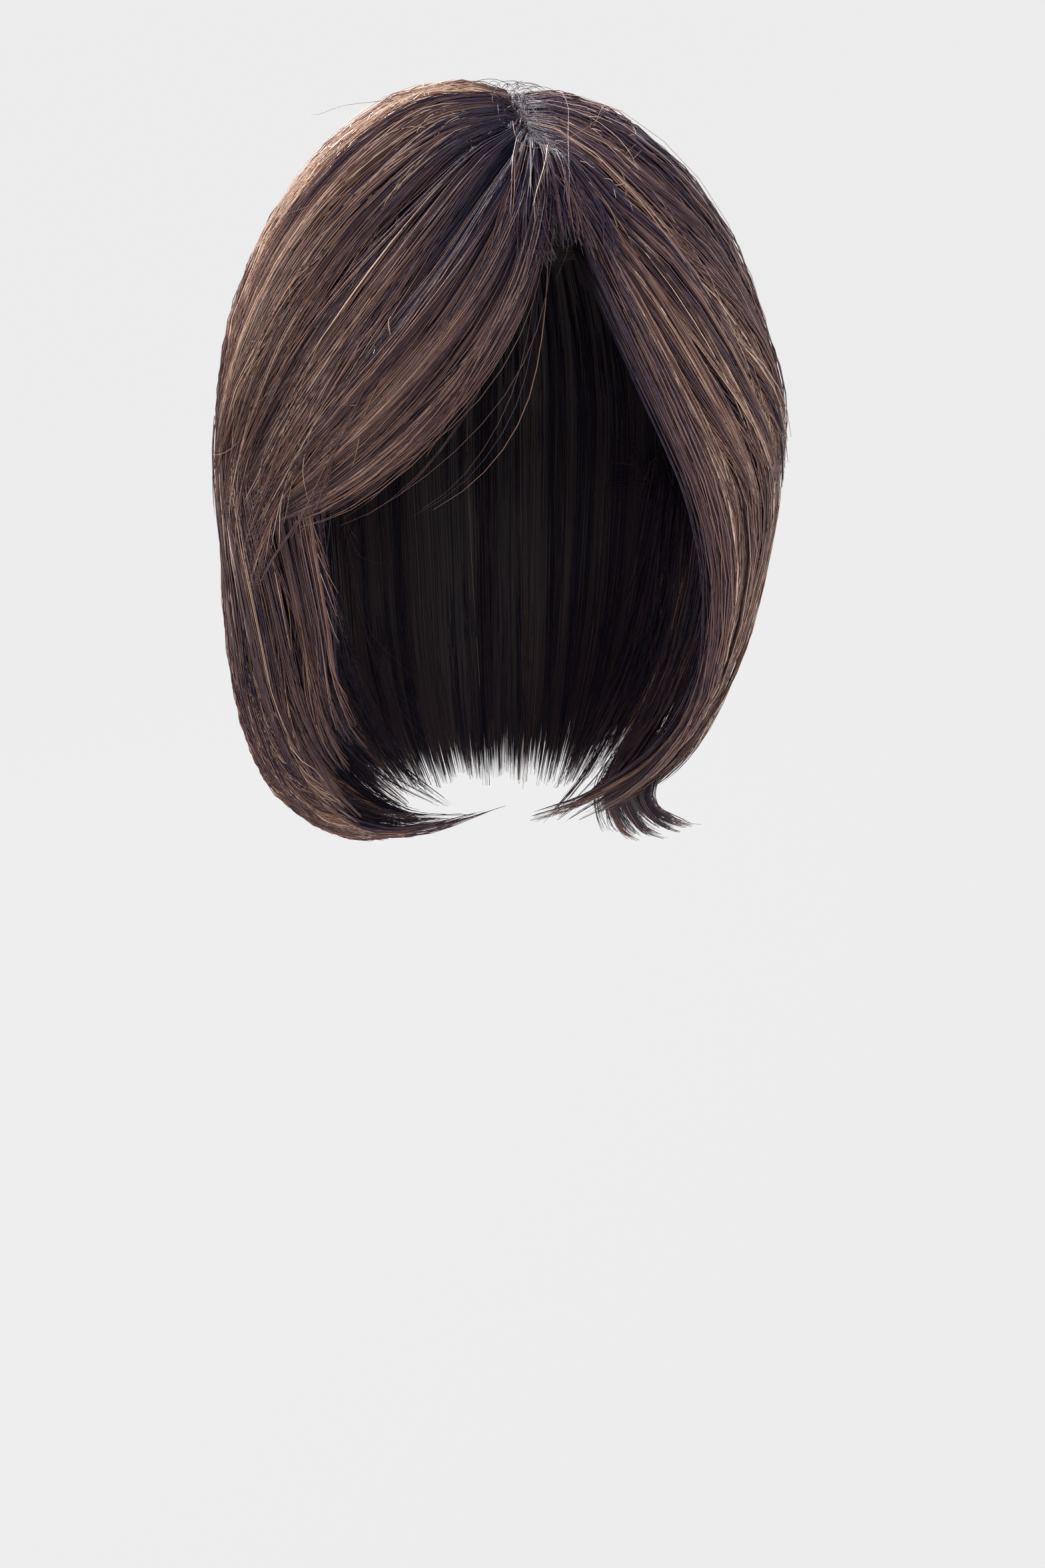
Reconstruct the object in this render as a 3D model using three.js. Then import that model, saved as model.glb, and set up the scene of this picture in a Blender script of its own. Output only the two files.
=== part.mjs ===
// A bob-length hair topper with a side parting: a domed base, falls of hair whose locks are fused into hollow
// walls, and four comb clips under the base. Millimetres, +Z up. The face side is -Y, and left and right are
// as seen from the front. The origin is the crown of the head, where it meets the inside of the base.
import * as THREE from "three";

// Driving sizes. Azimuth 0 is the front, +90 the right side and 180 the back.
const widestZ = -105;
const outline = { halfWidth: 97.5, front: 109, back: 117, rise: 120 };
const head = { halfWidth: 76, front: 95, back: 97, rise: 105 };
const baseWall = 1.2;
const rootGap = 0.5;
const clearGap = 1.2;
const partGap = 3;
const baseRim = { front: 38, side: 47, back: 53, rings: 6, sides: 32 };
const clip = { length: 30, spine: 5, tooth: 10, toothWidth: 2.4, teeth: 5, thickness: 1 };
const lockColumns = 4;
const unevenLocks = 0.35;

// The parting in plan, from the front hairline to the crown, and the whorl that the back hair grows from.
const partingPlan = [[12, -60], [6.5, -46], [4, -22], [4, 14]];
const crownWhorl = { x: 4, y: 15.5, radius: 8 };

const degrees = Math.PI / 180;
const mix = THREE.MathUtils.lerp;
const ease = THREE.MathUtils.smoothstep;
const grown = (shell, by) => ({
  halfWidth: shell.halfWidth + by,
  front: shell.front + by,
  back: shell.back + by,
  rise: shell.rise + by,
});
const table = (columns, rows) =>
  rows.map((row) => Object.fromEntries(columns.map((name, i) => [name, row[i]])));

const hairMaterial = new THREE.MeshStandardMaterial({ color: 0x4a342c, roughness: 0.45, metalness: 0 });
const netMaterial = new THREE.MeshStandardMaterial({ color: 0x3a2a26, roughness: 0.9, metalness: 0 });
const clipMaterial = new THREE.MeshStandardMaterial({ color: 0x1c1817, roughness: 0.4, metalness: 0.6 });

// Each fall of hair is a table with a row for each guide lock, and the locks between are interpolated.
// root: place of the root along the parting, or its angle round the crown or along the base's rim.
// dip: how far the lock drops forwards before it turns to its side. azimuth, reach: where it is widest,
// reach as a share of the outline. swing: turn of the azimuth from there to the tip. turnZ, turnReach: where
// the curl starts. hemZ, hemReach: how low and how far in the curl goes. curl: how far round it the tip is,
// 90 pointing straight in. taper: 1 for a round curl, more for a slanting one.
// Beside the rows: the locks across and the facets along them, the wall at its thickest and at the tips, the
// depth of the valleys and notches between locks, how far the root, crown and sides stand off the base, and
// where along the lock its inside leaves the base.
const fallColumns = [
  "root", "dip", "azimuth", "reach", "swing", "turnZ", "turnReach", "hemZ", "hemReach", "curl", "taper",
];
const sideLeft = {
  locks: 7, steps: 15, wall: 9, tip: 2.6, ridge: 0.4, notch: 0.07,
  rootLift: 0.7, crownLift: 0.95, lift: 1, clings: 0.3,
  rows: table(fallColumns, [
    [0.56, 0, -70, 0.98, 8, -174, 0.98, -240, 0.46, 84, 1],
    [0.68, 0, -84, 1, 4, -188, 1.02, -250, 0.44, 116, 1],
    [0.84, 0, -104, 1, 4, -184, 1, -252, 0.44, 106, 1],
    [1, 0, -127.5, 1, 3, -168, 0.98, -254, 0.44, 84, 1.2],
  ]),
};
const sideRight = {
  locks: 9, steps: 14, wall: 8, tip: 2.6, ridge: 0.4, notch: 0.07,
  rootLift: 0.6, crownLift: 0.8, lift: 1, clings: 0.3,
  rows: table(fallColumns, [
    [0, 1, 38, 0.97, 22, -140, 0.95, -238, 0.34, 74, 1.8],
    [0.34, 0.5, 68, 0.99, 6, -126, 0.985, -244, 0.36, 74, 2.1],
    [0.7, 0, 96, 1, 2, -125, 0.985, -244, 0.42, 68, 1.1],
    [1, 0, 127.5, 1, 0, -134, 0.98, -250, 0.36, 76, 1.8],
  ]),
};
const backHair = {
  locks: 9, steps: 14, wall: 9, tip: 2.6, ridge: 0.4, notch: 0.07,
  rootLift: 0.65, crownLift: 0.9, lift: 1, clings: 0.3,
  rows: table(fallColumns, [
    [-60, 0, -128.6, 1, 3, -166, 0.98, -254, 0.44, 82, 1.2],
    [-30, 0, -155, 1, 0, -160, 0.97, -266, 0.48, 74, 1.3],
    [0, 0, -180, 1, 0, -156, 0.96, -272, 0.48, 70, 1.4],
    [30, 0, -205, 1, 0, -145, 0.97, -266, 0.44, 72, 1.6],
    [60, 0, -231.4, 1, 0, -135, 0.98, -250, 0.36, 76, 1.8],
  ]),
};
// The lock that frames the face starts on the base's rim, under the fringe.
const faceLock = {
  locks: 2, steps: 11, wall: 3.6, tip: 2, ridge: 0.35, notch: 0.1, rimZ: -14,
  rootLift: 0.2, crownLift: 0.34, lift: 0.34, clings: 0,
  rows: table(fallColumns, [
    [-39, 0, -46, 0.91, -2, -150, 0.9, -196, 0.72, 50, 1],
    [-48, 0, -63, 0.9, -4, -152, 0.9, -206, 0.7, 55, 1],
  ]),
};
// The fringe sweeps from the parting to the left temple. mid draws its bend, and end is its tip.
const fringe = {
  locks: 7, steps: 13, wall: 4.6, tip: 2, ridge: 0.4, notch: 0.08,
  rootLift: 0.6, crownLift: 0.95, lift: 1, clings: 0.02,
  rows: table(["root", "midAzimuth", "midZ", "endAzimuth", "endZ", "reach"], [
    [0.53, -52, -27, -68, -92, 1.02],
    [0.34, -30, -34, -61, -102, 1.025],
    [0.16, -7, -63, -54, -109, 1.02],
    [0.02, 11, -87, -45, -110, 1.01],
  ]),
};
// Three locks at the right hem go down inside the side hair and flick outwards below its tips.
const flick = {
  locks: 3, steps: 8, wall: 3, tip: 2, ridge: 0.5, notch: 0.3,
  rows: table(["azimuth", "rootReach", "rootZ", "waistReach", "waistZ", "tipReach", "tipZ"], [
    [88, 0.7, -205, 0.52, -240, 0.9, -251],
    [106, 0.695, -205, 0.48, -242, 0.66, -261],
  ]),
};

// A point of an egg-shaped shell, where way is a unit direction from the middle of its widest level.
function onShell(shell, way) {
  const depth = way.y < 0 ? shell.front : shell.back;
  return new THREE.Vector3(way.x * shell.halfWidth, way.y * depth, widestZ + way.z * shell.rise);
}

// The unit direction at an azimuth and a polar angle from the crown.
function wayAt(azimuth, polar) {
  const out = Math.sin(polar * degrees);
  return new THREE.Vector3(
    out * Math.sin(azimuth * degrees),
    -out * Math.cos(azimuth * degrees),
    Math.cos(polar * degrees),
  );
}

// The unit direction of the outline at an azimuth and a height.
const wayAtHeight = (azimuth, z) => wayAt(azimuth, Math.acos((z - widestZ) / outline.rise) / degrees);

// The unit direction of a plan point on the outline's dome.
function wayOverPlan(x, y) {
  const way = new THREE.Vector3(x / outline.halfWidth, y / (y < 0 ? outline.front : outline.back), 0);
  return way.setZ(Math.sqrt(1 - way.lengthSq()));
}

// The root direction at a place along the parting, on its left (-1) or right (+1) bank.
const parting = new THREE.CatmullRomCurve3(partingPlan.map(([x, y]) => new THREE.Vector3(x, y, 0)));
function partingRoot(place, bank) {
  const at = parting.getPoint(place);
  return wayOverPlan(at.x + (bank * partGap) / 2, at.y);
}

// The root direction round the crown, by the angle from straight back.
function crownRoot(angle) {
  const x = crownWhorl.x + crownWhorl.radius * Math.sin(angle * degrees);
  return wayOverPlan(x, crownWhorl.y + crownWhorl.radius * Math.cos(angle * degrees));
}

// A point at a share of the outline's reach, or the wall's inside there: in by its thickness, up on a curl.
function onFall(azimuth, reach, z, thickness = 0, angle = 0) {
  const along = onShell(outline, wayAt(azimuth, 90)).setZ(0);
  const share = reach - (thickness * Math.cos(angle)) / along.length();
  return along.multiplyScalar(share).setZ(z + thickness * Math.sin(angle));
}

// A table's columns between its rows, as one smooth curve through them.
function rowAt(rows, u) {
  const place = u * (rows.length - 1);
  const i = Math.min(Math.floor(place), rows.length - 2);
  const t = place - i;
  const near = [i - 1, i, i + 1, i + 2].map((k) => rows[THREE.MathUtils.clamp(k, 0, rows.length - 1)]);
  const row = {};
  for (const name of Object.keys(rows[0])) {
    const [a, b, c, d] = near.map((each) => each[name]);
    const bend = (2 * a - 5 * b + 4 * c - d) * t * t + (3 * b - 3 * c + d - a) * t * t * t;
    row[name] = b + 0.5 * ((c - a) * t + bend);
  }
  return row;
}

// A path over the unit sphere from one direction to another, drawn towards a third.
function swoop(from, towards, to) {
  return (t) => {
    const first = from.clone().lerp(towards, t).normalize();
    return first.lerp(towards.clone().lerp(to, t).normalize(), t).normalize();
  };
}

// A guide lock's stretch over the dome: its outside, and its inside, which clings to the base near the root.
function domeStretch(path, fall, reach) {
  const outer = [];
  const inner = [];
  for (const t of [0, 0.08, 0.2, 0.35, 0.5, 0.66, 0.83, 1]) {
    const way = path(t);
    const gap = mix(rootGap, clearGap, ease(t, 0, 0.1));
    const low = onShell(grown(head, baseWall + gap), way);
    const high = onShell(outline, way);
    const depth = low.distanceTo(high);
    const wall = mix(depth, Math.min(fall.wall, depth), ease(t, fall.clings, 1));
    const lift = mix(fall.rootLift, mix(fall.crownLift, fall.lift, t), ease(t, 0, 0.2));
    const outside = low.clone().lerp(high, lift);
    const spread = new THREE.Vector3(mix(1, reach, t), mix(1, reach, t), 1);
    outer.push(outside.clone().multiply(spread));
    inner.push(outside.lerp(low, wall / depth).multiply(spread));
  }
  return { outer, inner };
}

const curvesThrough = ({ outer, inner }) => ({
  outer: new THREE.CatmullRomCurve3(outer, false, "centripetal"),
  inner: new THREE.CatmullRomCurve3(inner, false, "centripetal"),
});

// A guide lock that runs over the dome, falls from its widest place and curls at the tip.
function fallGuide(fall, row, root) {
  const widest = wayAt(row.azimuth, 90);
  const halfway = root.clone().add(widest).normalize();
  const dipped = root.clone().setZ(0).setLength(Math.hypot(halfway.x, halfway.y)).setZ(halfway.z);
  const path = swoop(root, halfway.lerp(dipped, row.dip).normalize(), widest);
  const { outer, inner } = domeStretch(path, fall, row.reach);
  for (const share of [0, 1 / 3, 2 / 3, 1]) {
    const angle = share * row.curl * degrees;
    const azimuth = row.azimuth + row.swing * mix(0.4, 1, share);
    const out = Math.sign(Math.cos(angle)) * Math.abs(Math.cos(angle)) ** row.taper;
    const reach = mix(row.hemReach, row.turnReach, out);
    const z = mix(row.turnZ, row.hemZ, Math.sin(angle));
    outer.push(onFall(azimuth, reach, z));
    inner.push(onFall(azimuth, reach, z, mix(fall.wall, fall.tip, share), angle));
  }
  return curvesThrough({ outer, inner });
}

// A guide lock of the fringe: one swoop over the dome.
function fringeGuide(row) {
  const bend = wayAtHeight(row.midAzimuth, row.midZ);
  const path = swoop(partingRoot(row.root, -1), bend, wayAtHeight(row.endAzimuth, row.endZ));
  return curvesThrough(domeStretch(path, fringe, row.reach));
}

// A guide lock of the flick: in to its waist, then out to its tip.
function flickGuide(row) {
  const stops = [
    [row.rootReach, row.rootZ, 0],
    [mix(row.rootReach, row.waistReach, 0.7), mix(row.rootZ, row.waistZ, 0.55), 0],
    [row.waistReach, row.waistZ, -20],
    [mix(row.waistReach, row.tipReach, 0.4), mix(row.waistZ, row.tipZ, 0.7), -60],
    [row.tipReach, row.tipZ, -75],
  ];
  const outer = stops.map(([reach, z]) => onFall(row.azimuth, reach, z));
  const inner = stops.map(([reach, z, angle], i) => {
    const wall = mix(flick.wall, flick.tip, i / (stops.length - 1));
    return onFall(row.azimuth, reach, z, wall, angle * degrees);
  });
  return curvesThrough({ outer, inner });
}

// A closed wall of fused locks: ridges along the outside, valleys and notched tips between the locks.
function lockWall(fall, guideAt) {
  const columns = fall.locks * lockColumns;
  const rows = fall.steps;
  const waves = 2 * Math.PI * Math.ceil(fall.locks / 4);
  const points = [];
  for (let i = 0; i <= columns; i++) {
    const even = i / columns;
    const lock = even * fall.locks;
    const { outer, inner } = guideAt(rowAt(fall.rows, even + (unevenLocks / waves) * Math.sin(waves * even)));
    const valley = 1 - Math.sqrt(Math.abs(Math.sin(Math.PI * lock)));
    const length = 1 - fall.notch * (valley + 0.4 * Math.sin(2.4 * lock) ** 2);
    for (let j = 0; j <= rows; j++) {
      const along = j / rows;
      const low = inner.getPoint(along * length);
      const high = outer.getPoint(along * length);
      points.push(high.lerp(low, fall.ridge * valley * ease(along, 0, 0.3)), low);
    }
  }
  const at = (i, j, side) => 2 * (i * (rows + 1) + j) + side;
  const index = [];
  const quad = (a, b, c, d) => index.push(a, b, c, a, c, d);
  for (let i = 0; i < columns; i++) {
    for (let j = 0; j < rows; j++) {
      quad(at(i, j, 0), at(i + 1, j, 0), at(i + 1, j + 1, 0), at(i, j + 1, 0));
      quad(at(i, j, 1), at(i, j + 1, 1), at(i + 1, j + 1, 1), at(i + 1, j, 1));
    }
    quad(at(i, 0, 0), at(i, 0, 1), at(i + 1, 0, 1), at(i + 1, 0, 0));
    quad(at(i, rows, 0), at(i + 1, rows, 0), at(i + 1, rows, 1), at(i, rows, 1));
  }
  for (let j = 0; j < rows; j++) {
    quad(at(0, j, 0), at(0, j + 1, 0), at(0, j + 1, 1), at(0, j, 1));
    quad(at(columns, j, 0), at(columns, j, 1), at(columns, j + 1, 1), at(columns, j + 1, 0));
  }
  return facingOut(points, index);
}

// Geometry from points and triangles, with all triangles turned round if they enclose a negative volume.
function facingOut(points, index) {
  let volume = 0;
  for (let i = 0; i < index.length; i += 3) {
    const [a, b, c] = index.slice(i, i + 3).map((k) => points[k]);
    volume += a.dot(b.clone().cross(c));
  }
  if (volume < 0) index.reverse();
  const geometry = new THREE.BufferGeometry().setFromPoints(points).setIndex(index);
  geometry.computeVertexNormals();
  return geometry;
}

// The base: a thin dome cap on the top of the head, cut back at the front hairline.
function baseGeometry() {
  const { rings, sides } = baseRim;
  const points = [];
  for (const shell of [head, grown(head, baseWall)]) {
    points.push(onShell(shell, wayAt(0, 0)));
    for (let ring = 1; ring <= rings; ring++) {
      for (let side = 0; side < sides; side++) {
        const forward = Math.cos((2 * Math.PI * side) / sides);
        const rim = mix(baseRim.side, forward > 0 ? baseRim.front : baseRim.back, forward ** 2);
        points.push(onShell(shell, wayAt((360 * side) / sides, (rim * ring) / rings)));
      }
    }
  }
  const perShell = 1 + rings * sides;
  const at = (shell, ring, side) => shell * perShell + (ring ? 1 + (ring - 1) * sides + (side % sides) : 0);
  const index = [];
  const quad = (a, b, c, d) => index.push(a, b, c, a, c, d);
  for (let side = 0; side < sides; side++) {
    index.push(at(1, 0, 0), at(1, 1, side), at(1, 1, side + 1));
    index.push(at(0, 0, 0), at(0, 1, side + 1), at(0, 1, side));
    for (let ring = 1; ring < rings; ring++) {
      quad(at(1, ring, side), at(1, ring + 1, side), at(1, ring + 1, side + 1), at(1, ring, side + 1));
      quad(at(0, ring, side + 1), at(0, ring + 1, side + 1), at(0, ring + 1, side), at(0, ring, side));
    }
    quad(at(1, rings, side), at(0, rings, side), at(0, rings, side + 1), at(1, rings, side + 1));
  }
  return facingOut(points, index);
}

// A comb clip: a spine with teeth, lying flat in its own XY plane.
function clipGeometry() {
  const half = clip.length / 2;
  const pitch = (clip.length - clip.toothWidth) / (clip.teeth - 1);
  const shape = new THREE.Shape().moveTo(half, clip.spine).lineTo(-half, clip.spine);
  for (let i = 0; i < clip.teeth; i++) {
    const left = -half + i * pitch;
    const right = left + clip.toothWidth;
    if (i > 0) shape.lineTo(left, 0);
    shape.lineTo(left, -clip.tooth).lineTo(right, -clip.tooth);
    if (i < clip.teeth - 1) shape.lineTo(right, 0);
  }
  return new THREE.ExtrudeGeometry(shape, { depth: clip.thickness, bevelEnabled: false });
}

function mesh(name, geometry, material) {
  const made = new THREE.Mesh(geometry, material);
  made.name = name;
  return made;
}

// A clip laid against the inside of the base, with its teeth towards the crown.
function clipOnBase(name, azimuth, polar, standoff) {
  const way = wayAt(azimuth, polar);
  const depth = way.y < 0 ? head.front : head.back;
  const out = new THREE.Vector3(way.x / head.halfWidth, way.y / depth, way.z / head.rise).normalize();
  const across = new THREE.Vector3(0, 0, 1).cross(out).normalize();
  const towardsRim = across.clone().cross(out);
  const turned = new THREE.Matrix4().makeBasis(towardsRim.clone().cross(out), towardsRim, out);
  const made = mesh(name, clipGeometry(), clipMaterial);
  made.quaternion.setFromRotationMatrix(turned);
  made.position.copy(onShell(head, way)).addScaledVector(out, -standoff - clip.thickness);
  return made;
}

const leftGuide = (row) => fallGuide(sideLeft, row, partingRoot(row.root, -1));
const rightGuide = (row) => fallGuide(sideRight, row, partingRoot(row.root, 1));
const backGuide = (row) => fallGuide(backHair, row, crownRoot(row.root));
const faceGuide = (row) => fallGuide(faceLock, row, wayAtHeight(row.root, faceLock.rimZ));

const topper = new THREE.Group();
topper.add(
  mesh("scalp_base", baseGeometry(), netMaterial),
  mesh("side_left", lockWall(sideLeft, leftGuide), hairMaterial),
  mesh("side_right", lockWall(sideRight, rightGuide), hairMaterial),
  mesh("back_hair", lockWall(backHair, backGuide), hairMaterial),
  mesh("face_lock_left", lockWall(faceLock, faceGuide), hairMaterial),
  mesh("fringe", lockWall(fringe, fringeGuide), hairMaterial),
  mesh("flick_right", lockWall(flick, flickGuide), hairMaterial),
  clipOnBase("clip_front", 0, 28, 3.2),
  clipOnBase("clip_back", 180, 40, 3.1),
  clipOnBase("clip_left", -90, 38, 2.4),
  clipOnBase("clip_right", 90, 38, 2.4),
);

export default topper;
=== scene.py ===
import math

import bpy
import numpy as np
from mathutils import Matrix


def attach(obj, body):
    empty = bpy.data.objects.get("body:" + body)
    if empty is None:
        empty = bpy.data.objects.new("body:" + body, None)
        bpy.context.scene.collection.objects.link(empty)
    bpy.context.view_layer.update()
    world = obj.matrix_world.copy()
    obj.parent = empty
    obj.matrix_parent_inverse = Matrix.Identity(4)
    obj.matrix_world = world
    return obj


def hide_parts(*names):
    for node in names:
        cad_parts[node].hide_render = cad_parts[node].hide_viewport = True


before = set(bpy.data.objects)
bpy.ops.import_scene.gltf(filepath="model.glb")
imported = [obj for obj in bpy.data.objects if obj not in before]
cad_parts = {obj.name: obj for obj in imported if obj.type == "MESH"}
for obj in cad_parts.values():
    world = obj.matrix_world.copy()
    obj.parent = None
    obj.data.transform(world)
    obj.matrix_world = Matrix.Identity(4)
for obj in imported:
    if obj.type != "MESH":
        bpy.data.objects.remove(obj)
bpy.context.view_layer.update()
scene = bpy.context.scene
print("frame loaded:", len(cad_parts), "solids")


# Small sums used all over.
def mix(a, b, t):
    return a + (b - a) * t


def ease(t, start, end):
    s = np.clip((t - start) / (end - start), 0, 1)
    return s * s * (3 - 2 * s)


def unit(v):
    return v / np.linalg.norm(v, axis=-1, keepdims=True)


# The camera stands where the photo was taken from, a little above the chin line and close.
camera = {
    "place": (-0.0158, -0.4293, -0.0344),
    "turnRight": 3.15,  # degrees
    "lookDown": 24.49,
    "focalPixels": 1771.6,
    "longSidePixels": 2352,
    "sensorMm": 36,
    "nearest": 0.01,
}


def placeCamera():
    lens = bpy.data.cameras.new("frontCamera")
    lens.sensor_width = camera["sensorMm"]
    lens.lens = camera["sensorMm"] * camera["focalPixels"] / camera["longSidePixels"]
    lens.clip_start = camera["nearest"]
    stand = bpy.data.objects.new("frontCamera", lens)
    stand.location = camera["place"]
    stand.rotation_euler = (
        math.radians(90 - camera["lookDown"]),
        0,
        math.radians(-camera["turnRight"]),
    )
    scene.collection.objects.link(stand)
    scene.camera = stand


placeCamera()
print("camera placed")


# A socket of a node tree. Sums on it add Math nodes, node() adds any other kind.
class Wire:
    def __init__(self, tree, socket=None):
        self.tree = tree
        self.socket = socket

    def node(self, kind, settings=None, sockets=None):
        made = self.tree.nodes.new(kind)
        for key, value in (settings or {}).items():
            if key == "stops":
                fillRamp(made.color_ramp, value)
            else:
                setattr(made, key, value)
        for key, value in (sockets or {}).items():
            if isinstance(value, Wire):
                self.tree.links.new(value.socket, made.inputs[key])
            else:
                made.inputs[key].default_value = value
        return Wire(self.tree, made.outputs[0] if made.outputs else None)

    def __getitem__(self, name):  # another output of the same node
        return Wire(self.tree, self.socket.node.outputs[name])

    def sum(self, operation, a, b=0.0):
        return self.node("ShaderNodeMath", {"operation": operation}, {0: a, 1: b})

    def __add__(self, other):
        return self.sum("ADD", self, other)

    def __sub__(self, other):
        return self.sum("SUBTRACT", self, other)

    def __mul__(self, other):
        return self.sum("MULTIPLY", self, other)

    def __pow__(self, other):
        return self.sum("POWER", self, other)

    def __rsub__(self, other):
        return self.sum("SUBTRACT", other, self)

    __radd__ = __add__
    __rmul__ = __mul__

    def sine(self):
        return self.sum("SINE", self)

    def held(self):  # kept between 0 and 1
        return self.node("ShaderNodeClamp", {}, {"Value": self})

    def blend(self, colourA, colourB):  # this wire is the factor
        return self.node("ShaderNodeMix", {"data_type": "RGBA"}, {0: self, 6: colourA, 7: colourB})[2]

    def bump(self, strength, distance):  # this wire is the height
        sockets = {"Height": self, "Strength": strength, "Distance": distance}
        return self.node("ShaderNodeBump", {}, sockets)

    def noise(self, scale, detail):  # this wire is the place
        return self.node("ShaderNodeTexNoise", {}, {"Vector": self, "Scale": scale, "Detail": detail})

    def attribute(self, name):  # the three parts of a mesh attribute
        vector = self.node("ShaderNodeAttribute", {"attribute_name": name})["Vector"]
        parts = self.node("ShaderNodeSeparateXYZ", {}, {"Vector": vector})
        return parts["X"], parts["Y"], parts["Z"]

    def place(self):
        return self.node("ShaderNodeTexCoord")["Object"]


def fillRamp(ramp, stops):
    while len(ramp.elements) < len(stops):
        ramp.elements.new(1.0)
    for element, (place, colour) in zip(ramp.elements, stops):
        element.position = place
        element.color = (*colour, 1)


def startFinish(name):
    material = bpy.data.materials.new(name)
    material.use_nodes = True
    material.node_tree.nodes.clear()
    return material, Wire(material.node_tree)


def closeFinish(wire, sockets):
    surface = wire.node("ShaderNodeBsdfPrincipled", {}, sockets)
    wire.node("ShaderNodeOutputMaterial", {}, {"Surface": surface})


# The sweep is a pale bowl: a flat floor that curves up all round, of paper lit from behind.
sweep = {
    "floorZ": -0.55, "floorRadius": 1.3, "bend": 0.7, "wallTop": 0.9,
    "firstRing": 0.6, "bendSteps": 16, "sides": 96,
    "colour": (0.004, 0.004, 0.004), "glow": 0.832, "roughness": 0.9, "shine": 0.1,
    "grain": 2.0, "grainShade": 0.97,
}


def paperFinish():
    material, wire = startFinish("sweepPaper")
    grain = wire.place().noise(sweep["grain"], 2.0)
    shaded = [c * sweep["grainShade"] for c in sweep["colour"]]
    closeFinish(wire, {
        "Base Color": grain.blend((*sweep["colour"], 1), (*shaded, 1)),
        "Roughness": sweep["roughness"], "Specular IOR Level": sweep["shine"],
        "Emission Color": (1, 1, 1, 1), "Emission Strength": sweep["glow"],
    })
    return material


def layFloor():
    bendSteps, sides = sweep["bendSteps"], sweep["sides"]
    profile = [(0.0, 0.0), (sweep["firstRing"], 0.0)]
    for i in range(bendSteps + 1):
        angle = 0.5 * math.pi * i / bendSteps
        reach = sweep["floorRadius"] + sweep["bend"] * math.sin(angle)
        profile.append((reach, sweep["bend"] * (1 - math.cos(angle))))
    profile.append((sweep["floorRadius"] + sweep["bend"], sweep["wallTop"] - sweep["floorZ"]))
    points = [(0, 0, sweep["floorZ"])]
    for reach, rise in profile[1:]:
        for k in range(sides):
            turn = 2 * math.pi * k / sides
            points.append((reach * math.cos(turn), reach * math.sin(turn), sweep["floorZ"] + rise))
    faces = [(0, 1 + k, 1 + (k + 1) % sides) for k in range(sides)]
    for ring in range(len(profile) - 2):
        low = 1 + ring * sides
        for k in range(sides):
            beside = (k + 1) % sides
            faces.append((low + k, low + sides + k, low + sides + beside, low + beside))
    mesh = bpy.data.meshes.new("sweep")
    mesh.from_pydata(points, [], faces)
    mesh.shade_smooth()
    floor = bpy.data.objects.new("sweep", mesh)
    floor.data.materials.append(paperFinish())
    scene.collection.objects.link(floor)


# Soft boxes, each with a place, a size in metres and a power in watts. All face the hair.
softBoxes = {
    "crownLight": dict(place=(-0.52, 0.34, 0.50), size=(0.5, 0.36), power=25, colour=(1.0, 0.98, 0.97)),
    "frontLeft": dict(place=(-0.95, -0.60, 0.10), size=(0.7, 0.9), power=9, colour=(1.0, 0.93, 0.88)),
    "frontRight": dict(place=(0.95, -0.70, 0.00), size=(0.7, 0.9), power=11, colour=(1.0, 0.93, 0.88)),
    "behind": dict(place=(0.25, 1.1, 0.55), size=(1.0, 0.6), power=5, colour=(0.97, 0.98, 1.0)),
}
skyLight = {"colour": (0.60, 0.72, 1.0), "strength": 0.8}
aim = (0.0, 0.0, -0.11)


def hangLights():
    for name, box in softBoxes.items():
        lamp = bpy.data.lights.new(name, "AREA")
        lamp.shape = "RECTANGLE"
        lamp.size, lamp.size_y = box["size"]
        lamp.energy = box["power"]
        lamp.color = box["colour"]
        hung = bpy.data.objects.new(name, lamp)
        hung.location = box["place"]
        towards = hung.location.copy()
        towards.x, towards.y, towards.z = (a - b for a, b in zip(aim, box["place"]))
        hung.rotation_euler = towards.to_track_quat("-Z", "Y").to_euler()
        hung.visible_camera = False
        scene.collection.objects.link(hung)
    world = bpy.data.worlds.new("studio")
    world.use_nodes = True
    world.node_tree.nodes["Background"].inputs["Color"].default_value = (*skyLight["colour"], 1)
    world.node_tree.nodes["Background"].inputs["Strength"].default_value = skyLight["strength"]
    scene.world = world
    scene.view_settings.view_transform = "Standard"


layFloor()
hangLights()
print("sweep and lights set")


# Sizes shared with the solids, in metres and degrees. Azimuth 0 is the front, +90 the right side.
widestZ = -0.105
outline = {"halfWidth": 0.0975, "front": 0.109, "back": 0.117, "rise": 0.120}
head = {"halfWidth": 0.076, "front": 0.095, "back": 0.097, "rise": 0.105}
baseWall = 0.0012
rootGap = 0.0005
clearGap = 0.0012
partGap = 0.003
unevenLocks = 0.35
partingPlan = np.array([(0.012, -0.060, 0), (0.0065, -0.046, 0), (0.004, -0.022, 0), (0.004, 0.014, 0)])
crownWhorl = {"x": 0.004, "y": 0.0155, "radius": 0.008}
unevenEnds = {"share": 0.4, "pace": 2.4}
rootRise = 0.06  # share of a fall in which its hair rises from the base to the outline
domeStops = (0, 0.08, 0.2, 0.35, 0.5, 0.66, 0.83, 1)
curlStops = (0, 1 / 3, 2 / 3, 1)
curlPlaces = (0.6, 0.73, 0.87, 1)  # how far down a strand the curl's stops are
curlSwing = 0.4  # share of the swing where the curl begins


def grown(shell, by):
    return {name: size + by for name, size in shell.items()}


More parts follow.
